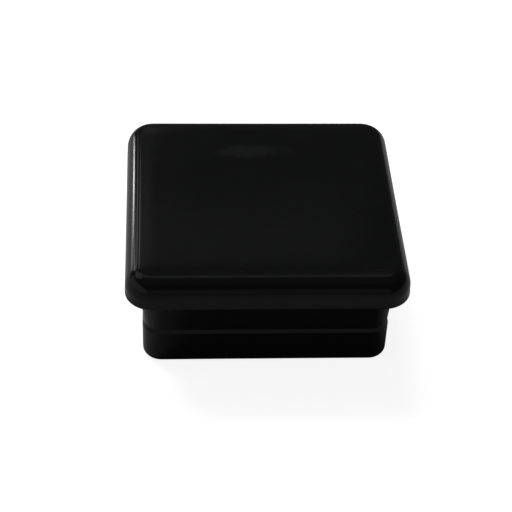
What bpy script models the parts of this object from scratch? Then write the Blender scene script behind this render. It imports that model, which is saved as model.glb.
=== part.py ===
"""Square post cap, a one-piece moulded plug for the open end of a square steel tube.

A low head with rolled edges covers the cut end of the tube. Below it a hollow plug holds the
cap by two barbs: each is widest at its upper end, so it slides in and resists being pulled out.
The cap is hollow from below, so that its walls stay even and the head doesn't sink as it cools.

Units are metres and +Z is up. The origin is at the middle of the end of the plug, where the
cap stands when it isn't in a tube. The cap is the same from all four sides.
"""

import math

import bmesh
import bpy

# Tube that the cap closes: the head is flush with its outside and the plug fills its hole
TUBE_WIDTH = 0.0500
TUBE_WALL = 0.0030

# Head, the part that is seen on the finished post
HEAD_HEIGHT = 0.0057
HEAD_CORNER_RADIUS = 0.0050
HEAD_ROLL_WIDTH = 0.0026
HEAD_ROLL_HEIGHT = 0.0040
HEAD_LOWER_EDGE_RADIUS = 0.00035

# Upper barb, from the underside of the head down to its narrow neck
UPPER_BARB_HEIGHT = 0.0075
UPPER_BARB_CORNER_RADIUS = 0.0036

# How far each wall of the upper barb is squeezed in by the tube, where it is widest
UPPER_BARB_SQUEEZE = 0.0004

# How far each wall of the neck stands back from the ledge of the lower barb
NECK_SETBACK = 0.0002

# Lower barb, from its ledge down to the end of the plug
LOWER_BARB_HEIGHT = 0.0075
LOWER_BARB_CORNER_RADIUS = 0.0034
LOWER_BARB_DRAFT = math.radians(0.3)
LEAD_IN_RADIUS = 0.0012

# Hollow, open at the end of the plug
WALL_AT_MOUTH = 0.0020
ROOF_THICKNESS = 0.0026
HOLLOW_DRAFT = math.radians(0.5)
HOLLOW_CORNER_RADIUS = 0.0020
HOLLOW_ROOF_RADIUS = 0.0010
MOUTH_CHAMFER = 0.0004

# Facets across the rounded corners and edges
CORNER_SEGMENTS = 10
ROLL_SEGMENTS = 8
EDGE_SEGMENTS = 4
SHARP_ANGLE = math.radians(35.0)

# How far a joined or cutting block runs past the face where it meets the next one
OVERRUN = 0.0010

# Widths across the flats, each worked out from the tube
HEAD_WIDTH = TUBE_WIDTH
LOWER_BARB_WIDTH = TUBE_WIDTH - 2.0 * TUBE_WALL
UPPER_BARB_WIDTH = LOWER_BARB_WIDTH + 2.0 * UPPER_BARB_SQUEEZE
NECK_WIDTH = LOWER_BARB_WIDTH - 2.0 * NECK_SETBACK

# Heights of the main faces above the end of the plug
LEDGE_Z = LOWER_BARB_HEIGHT
HEAD_UNDERSIDE_Z = LEDGE_Z + UPPER_BARB_HEIGHT
HEAD_TOP_Z = HEAD_UNDERSIDE_Z + HEAD_HEIGHT
ROOF_Z = HEAD_TOP_Z - ROOF_THICKNESS

# Two heights closer than this are the same height
SAME_HEIGHT = 1e-6


def clear_scene():
    """Removes the objects of the open scene."""
    for item in list(bpy.data.objects):
        bpy.data.objects.remove(item, do_unlink=True)


def new_collection(name):
    """Adds a collection to the scene.

    Args:
        name: name of the collection.

    Returns:
        The new collection.
    """
    collection = bpy.data.collections.new(name)
    bpy.context.scene.collection.children.link(collection)
    return collection


def black_plastic():
    """Makes the finish of the cap, black polyethylene with a soft shine.

    Returns:
        The new material.
    """
    material = bpy.data.materials.new("black_plastic")
    material.use_nodes = True
    shader = material.node_tree.nodes["Principled BSDF"]
    shader.inputs["Base Color"].default_value = (0.012, 0.012, 0.013, 1.0)
    shader.inputs["Roughness"].default_value = 0.36
    shader.inputs["Metallic"].default_value = 0.0
    return material


def taper(height, angle):
    """Gives how much a width changes over a height, for two walls that lean by an angle.

    Args:
        height: the height of the walls.
        angle: the lean of each wall from upright, in radians.

    Returns:
        The change of width in metres.
    """
    return 2.0 * height * math.tan(angle)


def upright_edges(mesh):
    """Finds the four edges of a block that run from its lower face to its upper face.

    Args:
        mesh: the bmesh of a four-sided block.

    Returns:
        A list of edges.
    """
    return [
        edge
        for edge in mesh.edges
        if abs(edge.verts[0].co.z - edge.verts[1].co.z) > SAME_HEIGHT
    ]


def rim_edges(mesh, height):
    """Finds the edges round the face that lies at one height.

    Args:
        mesh: the bmesh to search.
        height: the height of the face in metres.

    Returns:
        A list of edges.
    """
    return [
        edge
        for edge in mesh.edges
        if all(abs(corner.co.z - height) < SAME_HEIGHT for corner in edge.verts)
    ]


def round_edges(mesh, edges, radius, segments):
    """Rounds edges with a circular bevel.

    Args:
        mesh: the bmesh to change.
        edges: the edges to round.
        radius: the radius of the bevel in metres.
        segments: the number of facets across the bevel.
    """
    bmesh.ops.bevel(
        mesh,
        geom=edges,
        offset=radius,
        offset_type="OFFSET",
        segments=segments,
        profile=0.5,
        affect="EDGES",
        clamp_overlap=True,
    )


def tapered_block(lower_z, upper_z, lower_width, upper_width, corner_radius):
    """Makes a four-sided block whose walls may lean, with round upright corners.

    Args:
        lower_z: height of its lower face.
        upper_z: height of its upper face.
        lower_width: width across its flats at the lower face.
        upper_width: width across its flats at the upper face.
        corner_radius: radius of its four upright corners.

    Returns:
        The block as a new bmesh.
    """
    mesh = bmesh.new()
    bmesh.ops.create_cube(mesh, size=1.0)
    for corner in mesh.verts:
        is_upper = corner.co.z > 0.0
        width = upper_width if is_upper else lower_width
        corner.co.x *= width
        corner.co.y *= width
        corner.co.z = upper_z if is_upper else lower_z
    round_edges(mesh, upright_edges(mesh), corner_radius, CORNER_SEGMENTS)
    return mesh


def roll_upper_rim(mesh, upper_z, roll_width, roll_height):
    """Rolls the rim of an upper face over in a quarter of an ellipse.

    The block is squeezed upright until the ellipse is a circle, bevelled, and stretched back.

    Args:
        mesh: the bmesh to change.
        upper_z: height of the upper face.
        roll_width: how far the roll reaches in over the upper face.
        roll_height: how far the roll reaches down the walls.
    """
    squeeze = roll_width / roll_height
    for corner in mesh.verts:
        corner.co.z *= squeeze
    round_edges(mesh, rim_edges(mesh, upper_z * squeeze), roll_width, ROLL_SEGMENTS)
    for corner in mesh.verts:
        corner.co.z /= squeeze


def place_block(name, mesh, collection):
    """Turns a bmesh into an object, smooth over its rounded corners.

    Args:
        name: name of the object.
        mesh: the bmesh, which is freed.
        collection: the collection that the object goes in.

    Returns:
        The new object.
    """
    data = bpy.data.meshes.new(name)
    mesh.to_mesh(data)
    mesh.free()
    data.shade_smooth()
    data.set_sharp_from_angle(angle=SHARP_ANGLE)
    block = bpy.data.objects.new(name, data)
    collection.objects.link(block)
    return block


def combine(body, block, operation):
    """Joins a block to the body of the cap or cuts it out, and hides the block.

    Args:
        body: the object that is changed.
        block: the object that is joined or cut out.
        operation: UNION or DIFFERENCE.
    """
    step = body.modifiers.new(f"{operation.lower()} {block.name}", "BOOLEAN")
    step.operation = operation
    step.solver = "EXACT"
    step.object = block
    block.hide_render = True
    block.display_type = "WIRE"


def make_head(collection):
    """Makes the head, with upright walls, a rolled upper rim and a softened lower rim.

    Args:
        collection: the collection that it goes in.

    Returns:
        The new object.
    """
    mesh = tapered_block(
        HEAD_UNDERSIDE_Z, HEAD_TOP_Z, HEAD_WIDTH, HEAD_WIDTH, HEAD_CORNER_RADIUS
    )
    roll_upper_rim(mesh, HEAD_TOP_Z, HEAD_ROLL_WIDTH, HEAD_ROLL_HEIGHT)
    lower_rim = rim_edges(mesh, HEAD_UNDERSIDE_Z)
    round_edges(mesh, lower_rim, HEAD_LOWER_EDGE_RADIUS, EDGE_SEGMENTS)
    return place_block("post_cap", mesh, collection)


def make_upper_barb(collection):
    """Makes the upper barb, which narrows downwards from the head to its neck.

    The block runs on at the same slope into the head above and into the lower barb below.

    Args:
        collection: the collection that it goes in.

    Returns:
        The new object.
    """
    slope = (UPPER_BARB_WIDTH - NECK_WIDTH) / UPPER_BARB_HEIGHT
    mesh = tapered_block(
        LEDGE_Z - OVERRUN,
        HEAD_UNDERSIDE_Z + OVERRUN,
        NECK_WIDTH - slope * OVERRUN,
        UPPER_BARB_WIDTH + slope * OVERRUN,
        UPPER_BARB_CORNER_RADIUS,
    )
    return place_block("upper_barb", mesh, collection)


def lower_barb_end_width():
    """Gives the width of the lower barb at the end of the plug, before its lead-in.

    Returns:
        The width in metres.
    """
    return LOWER_BARB_WIDTH - taper(LOWER_BARB_HEIGHT, LOWER_BARB_DRAFT)


def make_lower_barb(collection):
    """Makes the lower barb, with its ledge on top and a rounded lead-in at its end.

    Args:
        collection: the collection that it goes in.

    Returns:
        The new object.
    """
    mesh = tapered_block(
        0.0, LEDGE_Z, lower_barb_end_width(), LOWER_BARB_WIDTH, LOWER_BARB_CORNER_RADIUS
    )
    round_edges(mesh, rim_edges(mesh, 0.0), LEAD_IN_RADIUS, EDGE_SEGMENTS)
    return place_block("lower_barb", mesh, collection)


def mouth_width():
    """Gives the width of the hollow at the end of the plug, before its chamfer.

    Returns:
        The width in metres.
    """
    return lower_barb_end_width() - 2.0 * WALL_AT_MOUTH


def make_hollow(collection):
    """Makes the cutter of the hollow, which narrows upwards and ends in a filleted roof.

    Args:
        collection: the collection that it goes in.

    Returns:
        The new object.
    """
    mesh = tapered_block(
        -OVERRUN,
        ROOF_Z,
        mouth_width() + taper(OVERRUN, HOLLOW_DRAFT),
        mouth_width() - taper(ROOF_Z, HOLLOW_DRAFT),
        HOLLOW_CORNER_RADIUS,
    )
    round_edges(mesh, rim_edges(mesh, ROOF_Z), HOLLOW_ROOF_RADIUS, EDGE_SEGMENTS)
    return place_block("hollow", mesh, collection)


def make_mouth_chamfer(collection):
    """Makes the cutter that takes the sharp inner edge off the mouth of the hollow.

    Its walls lean by 45 degrees, and run on below the plug and up inside the hollow.

    Args:
        collection: the collection that it goes in.

    Returns:
        The new object.
    """
    lean = math.radians(45.0)
    mesh = tapered_block(
        -OVERRUN,
        MOUTH_CHAMFER + OVERRUN,
        mouth_width() + taper(MOUTH_CHAMFER + OVERRUN, lean),
        mouth_width() - taper(OVERRUN, lean),
        HOLLOW_CORNER_RADIUS + MOUTH_CHAMFER,
    )
    return place_block("mouth_chamfer", mesh, collection)


def make_post_cap():
    """Makes the whole cap as one moulded body.

    Returns:
        The finished object.
    """
    parts = new_collection("square_post_cap")
    blocks = new_collection("joined_and_cutting_blocks")
    cap = make_head(parts)
    combine(cap, make_upper_barb(blocks), "UNION")
    combine(cap, make_lower_barb(blocks), "UNION")
    combine(cap, make_hollow(blocks), "DIFFERENCE")
    combine(cap, make_mouth_chamfer(blocks), "DIFFERENCE")
    cap.data.materials.append(black_plastic())
    return cap


clear_scene()
make_post_cap()
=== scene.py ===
"""Dresses the square post cap for its portrait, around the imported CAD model.

The cap is one moulded piece of black polyethylene: a low head with rolled edges and, below it, a
hollow plug with two shallow barbs. Here it is one fine mesh on the sizes of the CAD model, with
softened edges, the parting line and the gate mark of the mould, and the form that the plastic
takes as it cools: the sides bow in, the head sinks a little and its border falls off softly.

Units are metres and +Z is up, in the frame of the CAD model. The cap stands on the end of its
plug on a pale floor, and the camera looks down on its front, towards +Y.
"""

import logging
import math
from collections.abc import Iterator
from dataclasses import dataclass
from enum import Enum

import bmesh
import bpy
from mathutils import Matrix, Vector


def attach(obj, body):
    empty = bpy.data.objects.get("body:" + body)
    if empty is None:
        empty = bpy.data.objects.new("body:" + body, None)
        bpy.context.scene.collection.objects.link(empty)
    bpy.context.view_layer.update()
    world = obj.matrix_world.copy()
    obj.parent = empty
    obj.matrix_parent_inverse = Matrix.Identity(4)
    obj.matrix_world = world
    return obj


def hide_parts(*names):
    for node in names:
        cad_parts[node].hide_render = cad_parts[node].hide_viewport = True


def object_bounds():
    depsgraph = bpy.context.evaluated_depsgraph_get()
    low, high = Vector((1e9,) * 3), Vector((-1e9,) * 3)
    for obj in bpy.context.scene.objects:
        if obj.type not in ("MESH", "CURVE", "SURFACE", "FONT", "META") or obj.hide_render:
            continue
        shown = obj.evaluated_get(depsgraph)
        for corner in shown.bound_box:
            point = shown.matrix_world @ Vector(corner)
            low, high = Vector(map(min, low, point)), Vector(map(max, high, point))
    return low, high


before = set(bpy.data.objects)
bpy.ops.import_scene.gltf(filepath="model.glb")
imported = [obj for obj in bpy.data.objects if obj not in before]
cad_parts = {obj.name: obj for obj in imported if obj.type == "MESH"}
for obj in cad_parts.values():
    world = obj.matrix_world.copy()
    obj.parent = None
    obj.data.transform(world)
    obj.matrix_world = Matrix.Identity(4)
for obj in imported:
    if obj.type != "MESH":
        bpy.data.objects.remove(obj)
CAD_LOWEST, CAD_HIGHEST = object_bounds()

QUARTER_TURN = math.radians(90.0)
MILLIMETRE = 0.001
MEAN_OF_NOISE = 0.5
FEWEST_ROUNDING_STEPS = 4
# A quarter of an ellipse is at most about this many times as long as its longer reach.
ARC_PER_REACH = 1.6

# Plain numbers that stand for a colour, for a place or a stretch, and for two levels.
Colour = tuple[float, float, float, float]
Triple = tuple[float, float, float]
Limits = tuple[float, float]

WHITE: Colour = (1.0, 1.0, 1.0, 1.0)

log = logging.getLogger("post_cap")


def grey(level: float) -> Colour:
    """Makes a plain grey."""
    return (level, level, level, 1.0)


class Maths(Enum):
    """What a Math node does with two numbers."""

    ADD = "ADD"
    SUBTRACT = "SUBTRACT"
    MULTIPLY = "MULTIPLY"


class VectorMaths(Enum):
    """What a Vector Math node does with a vector."""

    SUBTRACT = "SUBTRACT"
    DIVIDE = "DIVIDE"
    SCALE = "SCALE"
    LENGTH = "LENGTH"


@dataclass(frozen=True)
class Pattern:
    """The settings of a noise pattern.

    Attributes:
        per_unit: how many bumps there are in one unit of the place that it is given.
        detail: how many finer layers lie on the first.
        harshness: how strong the finer layers are.
    """

    per_unit: float
    detail: float
    harshness: float


class Signal:
    """A value that varies over a surface, kept as the node socket that gives it."""

    def __init__(self, board: "NodeBoard", socket: bpy.types.NodeSocket) -> None:
        """Wraps a socket.

        Args:
            board: the board that the socket's node stands on.
            socket: the output socket.
        """
        self.board = board
        self.socket = socket

    def __add__(self, other: "Signal | float") -> "Signal":
        """Adds a signal or a number."""
        return self.board.maths(Maths.ADD, self, other)

    def __radd__(self, other: float) -> "Signal":
        """Adds the signal to a number."""
        return self.board.maths(Maths.ADD, other, self)

    def __sub__(self, other: "Signal | float") -> "Signal":
        """Takes away a signal or a number."""
        return self.board.maths(Maths.SUBTRACT, self, other)

    def __rsub__(self, other: float) -> "Signal":
        """Takes the signal away from a number."""
        return self.board.maths(Maths.SUBTRACT, other, self)

    def __mul__(self, other: "Signal | float") -> "Signal":
        """Multiplies by a signal or a number."""
        return self.board.maths(Maths.MULTIPLY, self, other)

    def __rmul__(self, other: float) -> "Signal":
        """Multiplies a number by the signal."""
        return self.board.maths(Maths.MULTIPLY, other, self)

    def clipped(self, limits: Limits) -> "Signal":
        """Stretches the part of the signal between two levels over 0 to 1, with soft ends.

        Args:
            limits: the level that becomes 0 and the level that becomes 1.

        Returns:
            The stretched signal.
        """
        low, high = limits
        return self.board.node(
            "ShaderNodeMapRange",
            {"interpolation_type": "SMOOTHSTEP", "clamp": True},
            {"Value": self, "From Min": low, "From Max": high},
        )


class NodeBoard:
    """The node tree of one material or of the world, with short ways to add its nodes."""

    def __init__(self, tree: bpy.types.NodeTree) -> None:
        """Takes over a node tree and empties it."""
        self.tree = tree
        self.tree.nodes.clear()

    def node(self, kind: str, settings: dict, inputs: dict, output: int | str = 0) -> Signal:
        """Adds a node.

        Args:
            kind: the node's type name in Blender.
            settings: the node's own settings, which are set first.
            inputs: a value or signal for each named or numbered input.
            output: the output that is wanted.

        Returns:
            The wanted output as a signal.
        """
        made = self.tree.nodes.new(kind)
        for name, setting in settings.items():
            setattr(made, name, setting)
        for name, given in inputs.items():
            self.plug(given, made.inputs[name])
        return Signal(self, made.outputs[output])

    def show(self, kind: str, surface: Signal) -> None:
        """Sends a finished shader to an output node.

        Args:
            kind: the output node's type name in Blender.
            surface: the shader.
        """
        self.plug(surface, self.tree.nodes.new(kind).inputs["Surface"])

    def plug(self, given: object, socket: bpy.types.NodeSocket) -> None:
        """Gives an input socket a link or a value.

        Args:
            given: a signal to link, or a plain value.
            socket: the input socket.
        """
        if isinstance(given, Signal):
            self.tree.links.new(given.socket, socket)
        else:
            socket.default_value = given

    def maths(self, step: Maths, first: Signal | float, second: Signal | float) -> Signal:
        """Adds a Math node with two inputs."""
        return self.node("ShaderNodeMath", {"operation": step.value}, {0: first, 1: second})

    def vector_maths(
        self, step: VectorMaths, vector: Signal, inputs: dict, output: int | str = 0
    ) -> Signal:
        """Adds a Vector Math node.

        Args:
            step: what it does.
            vector: its first vector.
            inputs: its other inputs.
            output: the output that is wanted.

        Returns:
            The wanted output.
        """
        settings = {"operation": step.value}
        return self.node("ShaderNodeVectorMath", settings, {0: vector, **inputs}, output)

    def colour_mix(self, factor: Signal, first: Colour, second: Colour) -> Signal:
        """Mixes two colours.

        Args:
            factor: how much of the second colour counts.
            first: the first colour.
            second: the second colour.

        Returns:
            The mixed colour.
        """
        settings = {"data_type": "RGBA", "blend_type": "MIX"}
        colour_a = 6
        colour_b = 7
        colour_result = 2
        inputs = {0: factor, colour_a: first, colour_b: second}
        return self.node("ShaderNodeMix", settings, inputs, colour_result)

    def object_millimetres(self) -> Signal:
        """Gives the place on the object in millimetres, in the frame of the CAD model."""
        place = self.node("ShaderNodeTexCoord", {}, {}, "Object")
        return self.vector_maths(VectorMaths.SCALE, place, {"Scale": 1.0 / MILLIMETRE})

    def noise(self, place: Signal, pattern: Pattern) -> Signal:
        """Adds a noise pattern.

        Args:
            place: where on the surface, as a vector.
            pattern: the settings of the pattern.

        Returns:
            The noise, from 0 to 1.
        """
        inputs = {
            "Vector": place,
            "Scale": pattern.per_unit,
            "Detail": pattern.detail,
            "Roughness": pattern.harshness,
        }
        return self.node("ShaderNodeTexNoise", {"noise_dimensions": "3D"}, inputs)

    def bump(self, height: Signal, distance: float, below: Signal | None = None) -> Signal:
        """Turns a height pattern into a tilt of the surface.

        Args:
            height: the pattern, from 0 to 1.
            distance: what 1 stands for, in metres.
            below: the tilt of a coarser pattern that this one lies on.

        Returns:
            The tilted normal.
        """
        inputs = {"Height": height, "Distance": distance, "Strength": 1.0}
        if below is not None:
            inputs["Normal"] = below
        return self.node("ShaderNodeBump", {}, inputs)

    def for_camera(self, seen: Signal, otherwise: Signal) -> Signal:
        """Shows the camera one shader and every other ray another.

        Args:
            seen: what the camera sees.
            otherwise: what every other ray meets.

        Returns:
            The mixed shader.
        """
        camera_ray = self.node("ShaderNodeLightPath", {}, {}, "Is Camera Ray")
        return self.node("ShaderNodeMixShader", {}, {0: camera_ray, 1: otherwise, 2: seen})


@dataclass(frozen=True)
class ScuffSet:
    """Faint scuffs that run in one direction.

    Attributes:
        turn: how far they are turned about the upright axis, in radians.
        stretch: how the pattern is scaled on each axis, where a small scale draws it out.
    """

    turn: float
    stretch: Triple


@dataclass(frozen=True)
class BlackPolyethylene:
    """The finish of the cap: moulded black polyethylene with a soft shine.

    Attributes:
        colour: the black where the skin is clean.
        worn_and_sheen_colour: the greyer black where it has been rubbed, and the painted sheen of
        the smudge.
        specular_level: how strongly it shines, where 0.5 is common plastic.
        roughness: its mean roughness.
        roughness_spread: how far the roughness wanders to each side.
        cloud: the slow pattern that the roughness and the clean black wander with.
        cloud_limits: where the cloud starts to grey the black, and where it does so fully.
        cloud_wear: how worn the black is at most in the cloud.
        grain: the fine grain of the mould's skin.
        grain_depth: the depth of that grain.
        ripple: the slow ripple of the cooled surface.
        ripple_depth: the depth of that ripple.
        smudge_and_sheen_centre: the middle of the faint smudge on the head, in millimetres.
        smudge_and_sheen_reach: how far the smudge reaches to each side, in millimetres.
        smudge_and_sheen_tear: the pattern that tears the smudge's outline.
        smudge_and_sheen_tear_depth: how far that pattern's whole range moves the outline, as a
            share of the reach.
        smudge_and_sheen_limits: where the smudge starts to fade and where it ends, as shares of
            the reach.
        painted_sheen_share: how far the smudge greys the black, which is a painted sheen.
        smudge_and_sheen_roughness: how much rougher the smudge is.
        scuff_sets: the directions of the scuffs.
        scuff_lines: the pattern that gives the scuffs, once it is drawn out.
        scuff_line_limits: where a scuff starts and where it is full.
        scuff_patches: the pattern of the patches that have scuffs.
        scuff_patch_limits: where a patch starts and where it is full.
        scuff_wear: how worn the black is in a scuff.
        scuff_roughness: how much rougher a scuff is.
    """

    colour: Colour = (0.0026, 0.0029, 0.0028, 1.0)
    # This greyer black stands for rubbed wear, and in the smudge for a painted sheen.
    worn_and_sheen_colour: Colour = (0.0098, 0.0104, 0.0101, 1.0)
    specular_level: float = 0.25
    roughness: float = 0.13
    roughness_spread: float = 0.02
    cloud: Pattern = Pattern(per_unit=0.12, detail=5.0, harshness=0.55)
    cloud_limits: Limits = (0.45, 0.75)
    cloud_wear: float = 0.12
    grain: Pattern = Pattern(per_unit=5.0, detail=3.0, harshness=0.6)
    grain_depth: float = 0.0000010
    ripple: Pattern = Pattern(per_unit=0.30, detail=2.0, harshness=0.5)
    ripple_depth: float = 0.000012
    # The smudge is rougher, and the greyer black in it is a painted sheen on the head.
    smudge_and_sheen_centre: Triple = (-1.6, 13.8, 20.5)
    smudge_and_sheen_reach: Triple = (7.5, 2.8, 2.0)
    smudge_and_sheen_tear: Pattern = Pattern(per_unit=0.45, detail=4.0, harshness=0.6)
    smudge_and_sheen_tear_depth: float = 1.2
    smudge_and_sheen_limits: Limits = (0.35, 1.05)
    painted_sheen_share: float = 0.6
    smudge_and_sheen_roughness: float = 0.05
    scuff_sets: tuple[ScuffSet, ...] = (
        ScuffSet(turn=0.6, stretch=(0.10, 2.4, 2.4)),
        ScuffSet(turn=-0.9, stretch=(0.14, 2.0, 2.0)),
    )
    scuff_lines: Pattern = Pattern(per_unit=1.0, detail=2.0, harshness=0.4)
    scuff_line_limits: Limits = (0.66, 0.74)
    scuff_patches: Pattern = Pattern(per_unit=0.09, detail=2.0, harshness=0.5)
    scuff_patch_limits: Limits = (0.50, 0.70)
    scuff_wear: float = 0.2
    scuff_roughness: float = 0.06

    def smudge_and_sheen(self, board: NodeBoard, place: Signal) -> Signal:
        """Draws the faint smudge near the far edge of the head: a rougher patch with a painted
        sheen.

        Args:
            board: the material's nodes.
            place: the place on the object in millimetres.

        Returns:
            The strength of the smudge and of its painted sheen, from 0 to 1.
        """
        from_centre = board.vector_maths(VectorMaths.SUBTRACT, place, {1: self.smudge_and_sheen_centre})
        scaled = board.vector_maths(VectorMaths.DIVIDE, from_centre, {1: self.smudge_and_sheen_reach})
        distance = board.vector_maths(VectorMaths.LENGTH, scaled, {}, "Value")
        torn = board.noise(place, self.smudge_and_sheen_tear)
        outline = distance + (torn - MEAN_OF_NOISE) * self.smudge_and_sheen_tear_depth
        return 1.0 - outline.clipped(self.smudge_and_sheen_limits)

    def scuffs(self, board: NodeBoard, place: Signal) -> Signal:
        """Draws short faint scuffs from handling, in a few directions.

        Args:
            board: the material's nodes.
            place: the place on the object in millimetres.

        Returns:
            The strength of the scuffs, from 0 to 1.
        """
        patches = board.noise(place, self.scuff_patches).clipped(self.scuff_patch_limits)
        strength: Signal | None = None
        for scuff_set in self.scuff_sets:
            turned = board.node(
                "ShaderNodeMapping",
                {"vector_type": "POINT"},
                {
                    "Vector": place,
                    "Rotation": (0.0, 0.0, scuff_set.turn),
                    "Scale": scuff_set.stretch,
                },
            )
            lines = board.noise(turned, self.scuff_lines).clipped(self.scuff_line_limits)
            strength = lines if strength is None else strength + lines
        return strength * patches

    def material(self) -> bpy.types.Material:
        """Makes the material.

        Returns:
            The new material.
        """
        material = bpy.data.materials.new("black_polyethylene")
        material.use_nodes = True
        board = NodeBoard(material.node_tree)
        place = board.object_millimetres()
        smudge_and_sheen = self.smudge_and_sheen(board, place)
        scuffs = self.scuffs(board, place)
        cloud = board.noise(place, self.cloud)
        cloudy = cloud.clipped(self.cloud_limits)
        # The cloud and the scuffs grey the black as wear; the smudge greys it as a painted sheen.
        worn_and_sheen = smudge_and_sheen * self.painted_sheen_share + scuffs * self.scuff_wear + cloudy * self.cloud_wear
        colour = board.colour_mix(worn_and_sheen, self.colour, self.worn_and_sheen_colour)
        roughness = (cloud - MEAN_OF_NOISE) * (2.0 * self.roughness_spread) + self.roughness
        roughness = roughness + smudge_and_sheen * self.smudge_and_sheen_roughness + scuffs * self.scuff_roughness
        ripple = board.bump(board.noise(place, self.ripple), self.ripple_depth)
        grain = board.bump(board.noise(place, self.grain), self.grain_depth, ripple)
        shader = board.node(
            "ShaderNodeBsdfPrincipled",
            {},
            {
                "Base Color": colour,
                "Roughness": roughness,
                "Normal": grain,
                "Metallic": 0.0,
                "Specular IOR Level": self.specular_level,
            },
        )
        board.show("ShaderNodeOutputMaterial", shader)
        return material


@dataclass(frozen=True)
class Ring:
    """A level outline of the cap: a square with round corners.

    Attributes:
        half_width: distance from the middle to each flat side.
        corner_radius: radius of the four corners.
        height: height above the end of the plug.
    """

    half_width: float
    corner_radius: float
    height: float

    def shifted(self, other: "Ring", distance: float) -> "Ring":
        """Gives the ring that lies some way along the surface towards another ring.

        On a level face the corner stays concentric, and along a wall it follows the other ring.

        Args:
            other: the ring to go towards.
            distance: how far to go.

        Returns:
            The ring at that distance.
        """
        outward = other.half_width - self.half_width
        upward = other.height - self.height
        share = distance / math.hypot(outward, upward)
        is_level = abs(outward) > abs(upward)
        widening = outward if is_level else other.corner_radius - self.corner_radius
        return Ring(
            self.half_width + outward * share,
            self.corner_radius + widening * share,
            self.height + upward * share,
        )

    def mixed(self, parts: list[tuple["Ring", float]]) -> "Ring":
        """Pulls this ring towards others.

        Args:
            parts: each other ring and the share of the way that it pulls.

        Returns:
            The ring between them.
        """
        half_width = self.half_width
        corner_radius = self.corner_radius
        height = self.height
        for other, share in parts:
            half_width += (other.half_width - self.half_width) * share
            corner_radius += (other.corner_radius - self.corner_radius) * share
            height += (other.height - self.height) * share
        return Ring(half_width, corner_radius, height)

    def points(self, side_steps: int, corner_steps: int) -> Iterator[Vector]:
        """Walks once round the ring.

        Args:
            side_steps: steps along each flat side.
            corner_steps: steps round each corner.

        Yields:
            The points of the ring.
        """
        centre = self.half_width - self.corner_radius
        for quarter in range(4):
            turn = Matrix.Rotation(quarter * QUARTER_TURN, 3, "Z")
            for step in range(side_steps):
                along = centre * (2.0 * step / side_steps - 1.0)
                yield turn @ Vector((self.half_width, along, self.height))
            for step in range(corner_steps):
                angle = QUARTER_TURN * step / corner_steps
                across = centre + self.corner_radius * math.cos(angle)
                along = centre + self.corner_radius * math.sin(angle)
                yield turn @ Vector((across, along, self.height))


@dataclass(frozen=True)
class Edge:
    """An edge of the moulding, and how it is rounded.

    Attributes:
        ring: where the edge would be if it were sharp.
        reach_before: how far the rounding reaches back along the surface before it.
        reach_after: how far the rounding reaches on along the surface after it.
    """

    ring: Ring
    reach_before: float
    reach_after: float

    @classmethod
    def even(cls, ring: Ring, reach: float) -> "Edge":
        """Makes an edge that is rounded equally to both sides."""
        return cls(ring, reach, reach)

    def rounding(self, before: Ring, after: Ring, longest_step: float) -> list[Ring]:
        """Rounds the edge in a quarter of an ellipse.

        Args:
            before: a ring of the face before it.
            after: a ring of the face after it.
            longest_step: the most that two rings lie apart, except in a very small rounding.

        Returns:
            The rings of the rounding, from its start to its end.
        """
        start = self.ring.shifted(before, self.reach_before)
        end = self.ring.shifted(after, self.reach_after)
        arc = ARC_PER_REACH * max(self.reach_before, self.reach_after)
        steps = max(FEWEST_ROUNDING_STEPS, math.ceil(arc / longest_step))
        rings = []
        for step in range(steps + 1):
            angle = QUARTER_TURN * step / steps
            pulls = [(start, 1.0 - math.sin(angle)), (end, 1.0 - math.cos(angle))]
            rings.append(self.ring.mixed(pulls))
        return rings


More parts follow.
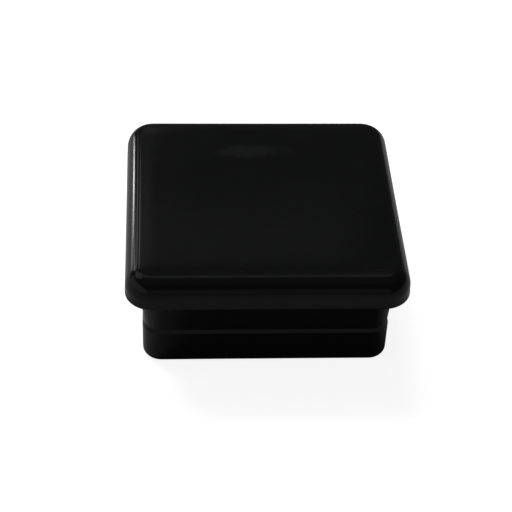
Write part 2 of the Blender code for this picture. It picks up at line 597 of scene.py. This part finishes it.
@dataclass
class MouldedCap:
    """The cap, one moulded piece: a head with rolled edges over a hollow plug with two barbs.

    The sizes are those of the CAD model. The small roundings, the parting lip, the slope of the
    ledge, the gate mark and what the cooling does to the form are this mesh's own, and the roll
    is fitted to the border that falls off behind it. Heights are above the end of the plug.

    Attributes:
        head_width: width of the head below its parting line.
        head_top: height of the flat top.
        head_corner_radius: radius of the head's corners, seen from above.
        head_underside: height of the head's underside.
        middle_half_width: half the width of the small ring that the top starts from.
        middle_corner_radius: radius of that ring's corners.
        roll_width: how far the rolled rim reaches in over the top.
        roll_height: how far the rolled rim reaches down the side.
        parting_lip: how far the head steps out at the mould's parting line.
        parting_lip_top: where that step starts, above the underside.
        parting_lip_bottom: where that step ends, above the underside.
        parting_lip_rounding: rounding of the step's two edges.
        head_lower_rounding: rounding of the head's lower rim.
        tube_wall: wall of the tube that the cap closes.
        upper_barb_squeeze: how far the upper barb stands out past the tube's inside.
        upper_barb_corner_radius: radius of the upper barb's corners.
        neck_setback: how far the neck stands back from the tube's inside.
        neck_rounding: rounding of the inner edge at the neck.
        shoulder_rounding: rounding where the upper barb meets the underside.
        ledge_height: height of the step between the barbs in the CAD model.
        ledge_slope_above: how far the sloped ledge reaches up from that height.
        ledge_slope_below: how far the sloped ledge reaches down from that height.
        ledge_rounding: rounding of the ledge's outer edge.
        lower_barb_corner_radius: radius of the lower barb's corners.
        lower_barb_draft: the angle at which the lower barb narrows downwards.
        lead_in: rounding round the end of the plug.
        wall_at_mouth: the plug's wall at its open end.
        mouth_chamfer: chamfer round the mouth of the hollow.
        mouth_rounding: rounding of the chamfer's two edges.
        hollow_corner_radius: radius of the hollow's corners.
        hollow_draft: the angle at which the hollow narrows upwards.
        roof_thickness: how thick the plastic is above the hollow.
        roof_rounding: fillet between the walls and the roof of the hollow.
        gate_half_width: half the width of the gate mark on the roof.
        gate_corner_radius: radius of the gate mark's corners.
        gate_height: how far the gate mark stands out of the roof.
        gate_taper: how far the gate mark's sides lean in.
        gate_rounding: rounding of the gate mark's edges.
        side_bow: how far the middle of each side bows in.
        head_sink: how far the middle of the head sinks.
        crown_width: width of the head's border that falls off softly.
        crown_drop: how far the border falls off at its edge.
        crown_power: how late the border falls off, where 1 would be a straight slope.
        side_steps: steps of the mesh along each flat side.
        corner_steps: steps of the mesh round each corner.
        longest_wall_step: the most that two rings of a wall lie apart.
        longest_rounding_step: the most that two rings of a rounding lie apart.
        edge_support: how close to its ends a wall has its first and last ring.
        shortest_wall: the length under which a wall has no rings of its own.
    """

    head_width: float
    head_top: float
    head_corner_radius: float = 0.0050
    head_underside: float = 0.0150
    middle_half_width: float = 0.0012
    middle_corner_radius: float = 0.0003
    roll_width: float = 0.00275
    roll_height: float = 0.00370
    parting_lip: float = 0.00006
    parting_lip_top: float = 0.0010
    parting_lip_bottom: float = 0.0006
    parting_lip_rounding: float = 0.00008
    head_lower_rounding: float = 0.00030
    tube_wall: float = 0.0030
    upper_barb_squeeze: float = 0.0004
    upper_barb_corner_radius: float = 0.0036
    neck_setback: float = 0.0002
    neck_rounding: float = 0.00006
    shoulder_rounding: float = 0.00015
    ledge_height: float = 0.0075
    ledge_slope_above: float = 0.0002
    ledge_slope_below: float = 0.0007
    ledge_rounding: float = 0.00008
    lower_barb_corner_radius: float = 0.0034
    lower_barb_draft: float = math.radians(0.3)
    lead_in: float = 0.0012
    wall_at_mouth: float = 0.0020
    mouth_chamfer: float = 0.0004
    mouth_rounding: float = 0.00010
    hollow_corner_radius: float = 0.0020
    hollow_draft: float = math.radians(0.5)
    roof_thickness: float = 0.0026
    roof_rounding: float = 0.0010
    gate_half_width: float = 0.0016
    gate_corner_radius: float = 0.0013
    gate_height: float = 0.0004
    gate_taper: float = 0.0002
    gate_rounding: float = 0.00012
    side_bow: float = 0.00004
    head_sink: float = 0.00004
    crown_width: float = 0.0070
    crown_drop: float = 0.00036
    crown_power: float = 3.0
    side_steps: int = 28
    corner_steps: int = 16
    longest_wall_step: float = 0.0008
    longest_rounding_step: float = 0.0003
    edge_support: float = 0.00006
    shortest_wall: float = 0.00024

    @property
    def ledge_half_width(self) -> float:
        """Half the width of the plug at its ledge, which is that of the tube's inside."""
        return self.head_width / 2.0 - self.tube_wall

    @property
    def plug_end_half_width(self) -> float:
        """Half the width of the plug at its lower end."""
        return self.ledge_half_width - self.ledge_height * math.tan(self.lower_barb_draft)

    @property
    def roof_height(self) -> float:
        """Height of the hollow's roof."""
        return self.head_top - self.roof_thickness

    def head_edges(self) -> list[Edge]:
        """Lists the edges of the head, from its top to its underside.

        Returns:
            The edges, in order.
        """
        half_width = self.head_width / 2.0
        corner = self.head_corner_radius
        wall = half_width - self.parting_lip
        wall_corner = corner - self.parting_lip
        lip_top = self.head_underside + self.parting_lip_top
        lip_bottom = self.head_underside + self.parting_lip_bottom
        top = Ring(wall, wall_corner, self.head_top)
        return [
            Edge(top, self.roll_width - self.parting_lip, self.roll_height),
            Edge.even(Ring(wall, wall_corner, lip_top), self.parting_lip_rounding),
            Edge.even(Ring(half_width, corner, lip_bottom), self.parting_lip_rounding),
            Edge.even(Ring(half_width, corner, self.head_underside), self.head_lower_rounding),
        ]

    def plug_edges(self) -> list[Edge]:
        """Lists the edges of the plug's outside, from the head's underside to its end.

        Returns:
            The edges, in order.
        """
        upper_corner = self.upper_barb_corner_radius
        lower_corner = self.lower_barb_corner_radius
        shoulder_half_width = self.ledge_half_width + self.upper_barb_squeeze
        shoulder = Ring(shoulder_half_width, upper_corner, self.head_underside)
        neck = Ring(
            self.ledge_half_width - self.neck_setback,
            lower_corner - self.neck_setback,
            self.ledge_height + self.ledge_slope_above,
        )
        ledge_bottom = self.ledge_height - self.ledge_slope_below
        ledge = Ring(self.ledge_half_width, lower_corner, ledge_bottom)
        return [
            Edge.even(shoulder, self.shoulder_rounding),
            Edge.even(neck, self.neck_rounding),
            Edge.even(ledge, self.ledge_rounding),
            Edge.even(Ring(self.plug_end_half_width, lower_corner, 0.0), self.lead_in),
        ]

    def hollow_edges(self) -> list[Edge]:
        """Lists the edges of the hollow, from its mouth to its roof.

        Returns:
            The edges, in order.
        """
        corner = self.hollow_corner_radius
        mouth = self.plug_end_half_width - self.wall_at_mouth
        roof_half_width = mouth - self.roof_height * math.tan(self.hollow_draft)
        rim = Ring(mouth + self.mouth_chamfer, corner + self.mouth_chamfer, 0.0)
        return [
            Edge.even(rim, self.mouth_rounding),
            Edge.even(Ring(mouth, corner, self.mouth_chamfer), self.mouth_rounding),
            Edge.even(Ring(roof_half_width, corner, self.roof_height), self.roof_rounding),
        ]

    def gate_edges(self) -> list[Edge]:
        """Lists the edges of the gate mark, from the hollow's roof to the mark's end.

        Returns:
            The edges, in order.
        """
        foot = Ring(self.gate_half_width, self.gate_corner_radius, self.roof_height)
        end = Ring(
            self.gate_half_width - self.gate_taper,
            self.gate_corner_radius - self.gate_taper,
            self.roof_height - self.gate_height,
        )
        return [Edge.even(foot, self.gate_rounding), Edge.even(end, self.gate_rounding)]

    def wall(self, start: Ring, end: Ring) -> list[Ring]:
        """Divides a wall or a level face between two rings.

        Two rings lie close to its ends, so that it stays flat right up to the roundings.

        Args:
            start: the ring that it starts from, which isn't repeated.
            end: the ring that it ends at, which isn't repeated.

        Returns:
            The rings between them.
        """
        length = math.hypot(end.half_width - start.half_width, end.height - start.height)
        if length < self.shortest_wall:
            return []
        near = self.edge_support / length
        steps = max(1, math.ceil(length / self.longest_wall_step))
        shares = [near + (1.0 - 2.0 * near) * step / steps for step in range(steps + 1)]
        return [start.mixed([(end, share)]) for share in shares]

    def rings(self) -> list[Ring]:
        """Lists every ring of the cap, from the middle of its top to the end of the gate mark.

        Returns:
            The rings, in order.
        """
        edges = self.head_edges() + self.plug_edges() + self.hollow_edges() + self.gate_edges()
        gate_centre = Ring(0.0, 0.0, edges[-1].ring.height)
        following = [edge.ring for edge in edges[1:]] + [gate_centre]
        rings = [Ring(self.middle_half_width, self.middle_corner_radius, self.head_top)]
        for edge, after in zip(edges, following):
            rounding = edge.rounding(rings[-1], after, self.longest_rounding_step)
            rings += self.wall(rings[-1], rounding[0])
            rings += rounding
        return rings

    def cooled(self, point: Vector) -> Vector:
        """Moves a point as the plastic shrinks.

        The sides bow in, the middle of the head sinks and its border falls off softly.

        Args:
            point: a point of the cap as the mould has it.

        Returns:
            The point of the cooled cap.
        """
        half = self.head_width / 2.0
        across = 1.0 - (point.x / half) ** 2
        along = 1.0 - (point.y / half) ** 2
        above = max(0.0, point.z - self.head_underside) / (self.head_top - self.head_underside)
        drop = self.head_sink * across * along
        for side in (abs(point.x), abs(point.y)):
            into_border = max(0.0, 1.0 - (half - side) / self.crown_width)
            drop += self.crown_drop * into_border**self.crown_power
        return Vector(
            (
                point.x - self.side_bow * along * point.x / half,
                point.y - self.side_bow * across * point.y / half,
                point.z - drop * above,
            )
        )

    def build(self, finish: BlackPolyethylene) -> bpy.types.Object:
        """Builds the cap and dresses it.

        Args:
            finish: the finish that it is given.

        Returns:
            The new object.
        """
        mesh = bmesh.new()
        loops = []
        for ring in self.rings():
            points = ring.points(self.side_steps, self.corner_steps)
            loops.append([mesh.verts.new(point) for point in points])
        for upper, lower in zip(loops, loops[1:]):
            for index, corner in enumerate(upper):
                before = index - 1
                mesh.faces.new((upper[before], lower[before], lower[index], corner))
        self.close(mesh, loops[0], Vector((0.0, 0.0, self.head_top)))
        gate_end = Vector((0.0, 0.0, loops[-1][0].co.z))
        self.close(mesh, list(reversed(loops[-1])), gate_end)
        for corner in mesh.verts:
            corner.co = self.cooled(corner.co)
        bmesh.ops.recalc_face_normals(mesh, faces=mesh.faces)
        data = bpy.data.meshes.new("post_cap_moulding")
        mesh.to_mesh(data)
        mesh.free()
        data.shade_smooth()
        data.materials.append(finish.material())
        cap = bpy.data.objects.new("post_cap_moulding", data)
        bpy.context.scene.collection.objects.link(cap)
        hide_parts("post_cap")
        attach(cap, "root")
        return cap

    def close(self, mesh: bmesh.types.BMesh, loop: list, centre: Vector) -> None:
        """Closes a level loop with a fan of faces.

        Args:
            mesh: the mesh that is built.
            loop: the corners of the loop.
            centre: the middle of the fan.
        """
        middle = mesh.verts.new(centre)
        for index, corner in enumerate(loop):
            mesh.faces.new((loop[index - 1], corner, middle))


@dataclass(frozen=True)
class SoftBox:
    """A plain white studio lamp with an even face, turned to the cap.

    Attributes:
        name: the lamp's name.
        azimuth: where it stands round the cap, in degrees; 0 is in front and 90 on the right.
        elevation: how high it stands, in degrees.
        width: how wide it looks from the cap, in degrees.
        height: how high it looks from the cap, in degrees.
        brightness: how bright its face is, where 1 is white.
        distance: how far off it stands.
        mirrored: whether glossy surfaces show it, or it only lights their own colour.
    """

    name: str
    azimuth: float
    elevation: float
    width: float
    height: float
    brightness: float
    distance: float = 0.9
    mirrored: bool = True

    def build(self, target: Vector) -> bpy.types.Object:
        """Sets the lamp up.

        Args:
            target: the point that it is turned to.

        Returns:
            The new lamp.
        """
        data = bpy.data.lights.new(self.name, "AREA")
        data.shape = "RECTANGLE"
        data.size = 2.0 * self.distance * math.tan(math.radians(self.width) / 2.0)
        data.size_y = 2.0 * self.distance * math.tan(math.radians(self.height) / 2.0)
        data.energy = self.brightness * math.pi * data.size * data.size_y
        lamp = bpy.data.objects.new(self.name, data)
        bpy.context.scene.collection.objects.link(lamp)
        turn = math.radians(self.azimuth)
        rise = math.radians(self.elevation)
        way = Vector(
            (math.sin(turn) * math.cos(rise), -math.cos(turn) * math.cos(rise), math.sin(rise))
        )
        lamp.location = target + way * self.distance
        lamp.rotation_mode = "QUATERNION"
        lamp.rotation_quaternion = (-way).to_track_quat("-Z", "Y")
        lamp.visible_camera = False
        lamp.visible_glossy = self.mirrored
        return lamp


@dataclass(frozen=True)
class PaleSweep:
    """The pale floor and the white room round it.

    Attributes:
        half_size: how far the floor reaches to each side.
        floor_grey: how pale the floor is under the lamps.
        floor_white: how much plain white the camera sees on the floor, so its shadow stays.
        room_grey: how bright the room is to everything but the camera.
    """

    half_size: float = 2.5
    floor_grey: float = 0.45
    floor_white: float = 0.88
    room_grey: float = 0.08

    def build(self) -> bpy.types.Object:
        """Lays the floor and lights the room.

        Returns:
            The floor.
        """
        data = bpy.data.meshes.new("floor")
        reach = self.half_size
        corners = [
            (-reach, -reach, 0.0),
            (reach, -reach, 0.0),
            (reach, reach, 0.0),
            (-reach, reach, 0.0),
        ]
        data.from_pydata(corners, [], [(0, 1, 2, 3)])
        data.materials.append(self.floor_material())
        floor = bpy.data.objects.new("floor", data)
        bpy.context.scene.collection.objects.link(floor)
        self.light_room()
        return floor

    def floor_material(self) -> bpy.types.Material:
        """Makes the floor's material, which the camera sees as white with a faint shadow.

        Returns:
            The new material.
        """
        material = bpy.data.materials.new("pale_floor")
        material.use_nodes = True
        board = NodeBoard(material.node_tree)
        paint = board.node("ShaderNodeBsdfDiffuse", {}, {"Color": grey(self.floor_grey)})
        white = {"Color": WHITE, "Strength": self.floor_white}
        glow = board.node("ShaderNodeEmission", {}, white)
        both = board.node("ShaderNodeAddShader", {}, {0: paint, 1: glow})
        board.show("ShaderNodeOutputMaterial", board.for_camera(seen=both, otherwise=paint))
        return material

    def light_room(self) -> None:
        """Makes the world white to the camera and dim to everything else."""
        world = bpy.data.worlds.new("pale_room")
        bpy.context.scene.world = world
        world.use_nodes = True
        board = NodeBoard(world.node_tree)
        room = grey(self.room_grey)
        dim = board.node("ShaderNodeBackground", {}, {"Color": room, "Strength": 1.0})
        white = board.node("ShaderNodeBackground", {}, {"Color": WHITE, "Strength": 1.0})
        board.show("ShaderNodeOutputWorld", board.for_camera(seen=white, otherwise=dim))


@dataclass(frozen=True)
class PortraitCamera:
    """The camera, at the photograph's viewing angle.

    Attributes:
        yaw: how far it looks to the right of +Y, in degrees.
        pitch: how far it looks down, in degrees.
        roll: how far it is turned about its own line of sight, in degrees.
        distance: how far it stands from the point that it looks at.
        target: the point that it looks at.
        lens: its focal length in millimetres.
        sensor_width: the width of its sensor in millimetres.
        nearest: the least distance at which it sees anything.
        farthest: the greatest distance at which it sees anything.
    """

    yaw: float = 4.408
    pitch: float = 39.92
    roll: float = 2.57
    distance: float = 0.293
    target: Triple = (-0.001615, -0.010303, 0.015)
    lens: float = 114.8
    sensor_width: float = 36.0
    nearest: float = 0.01
    farthest: float = 20.0

    def build(self) -> bpy.types.Object:
        """Sets the camera up and makes it the scene's camera.

        Returns:
            The new camera.
        """
        data = bpy.data.cameras.new("portrait_camera")
        data.lens = self.lens
        data.sensor_width = self.sensor_width
        data.sensor_fit = "HORIZONTAL"
        data.clip_start = self.nearest
        data.clip_end = self.farthest
        camera = bpy.data.objects.new("portrait_camera", data)
        bpy.context.scene.collection.objects.link(camera)
        yaw = math.radians(self.yaw)
        pitch = math.radians(self.pitch)
        forward = Vector(
            (math.sin(yaw) * math.cos(pitch), math.cos(yaw) * math.cos(pitch), -math.sin(pitch))
        )
        level = Vector((math.cos(yaw), -math.sin(yaw), 0.0))
        steep = level.cross(forward)
        tilt = Matrix.Rotation(math.radians(self.roll), 3, -forward)
        right = tilt @ level
        up = tilt @ steep
        axes = Matrix((right, up, -forward)).transposed()
        place = Vector(self.target) - forward * self.distance
        camera.matrix_world = Matrix.Translation(place) @ axes.to_4x4()
        bpy.context.scene.camera = camera
        return camera


# The windows stand where the rolled rim and the top mirror them: they draw the bright streak on
# the left roll and the soft light on the top. The key gives most of the light and the shadow.
SOFT_BOXES = (
    SoftBox("key", azimuth=205, elevation=50, width=40, height=10, brightness=19.0, mirrored=False),
    SoftBox("left_back_window", azimuth=240, elevation=45, width=32, height=26, brightness=0.7),
    SoftBox("foot_window", azimuth=221.4, elevation=0.5, width=5, height=5, brightness=3.0),
    SoftBox("low_window", azimuth=218.0, elevation=5.2, width=2.6, height=7.0, brightness=16.3),
    SoftBox("middle_window", azimuth=221, elevation=19, width=6, height=8, brightness=3.2),
    SoftBox("high_window", azimuth=211, elevation=27, width=7, height=8, brightness=1.4),
    SoftBox("top_window", azimuth=197, elevation=37, width=9, height=5, brightness=1.5),
    SoftBox("side_window", azimuth=188, elevation=38.5, width=7, height=5, brightness=0.2),
    SoftBox("corner_window", azimuth=184, elevation=32.3, width=4, height=3, brightness=0.33),
    SoftBox("back_panel", azimuth=183, elevation=40.1, width=20, height=2.0, brightness=0.17),
    SoftBox("back_softbox", azimuth=188, elevation=62, width=42, height=26, brightness=0.31),
    SoftBox("overhead_panel", azimuth=0, elevation=72, width=80, height=50, brightness=0.04),
    SoftBox("far_panel", azimuth=176, elevation=29, width=26, height=5, brightness=0.05),
    SoftBox("front_softbox", azimuth=0, elevation=11, width=60, height=20, brightness=0.15),
    SoftBox("left_softbox", azimuth=287, elevation=11, width=84, height=30, brightness=0.40),
)


def main() -> None:
    """Builds the camera, the cap, the floor and the lamps, in that order."""
    logging.basicConfig(level=logging.INFO, format="%(name)s: %(message)s")
    scene = bpy.context.scene
    scene.view_settings.view_transform = "Standard"
    camera = PortraitCamera().build()
    log.info("camera %s, lens %.1f mm", camera.name, camera.data.lens)
    cap_width = CAD_HIGHEST.x - CAD_LOWEST.x
    cap = MouldedCap(head_width=cap_width, head_top=CAD_HIGHEST.z).build(BlackPolyethylene())
    log.info("cap %s, %d faces", cap.name, len(cap.data.polygons))
    floor = PaleSweep().build()
    log.info("floor %s", floor.name)
    for box in SOFT_BOXES:
        lamp = box.build(Vector((0.0, 0.0, CAD_HIGHEST.z)))
        log.info("lamp %s, %.2f W", lamp.name, lamp.data.energy)


if __name__ == "__main__":
    main()
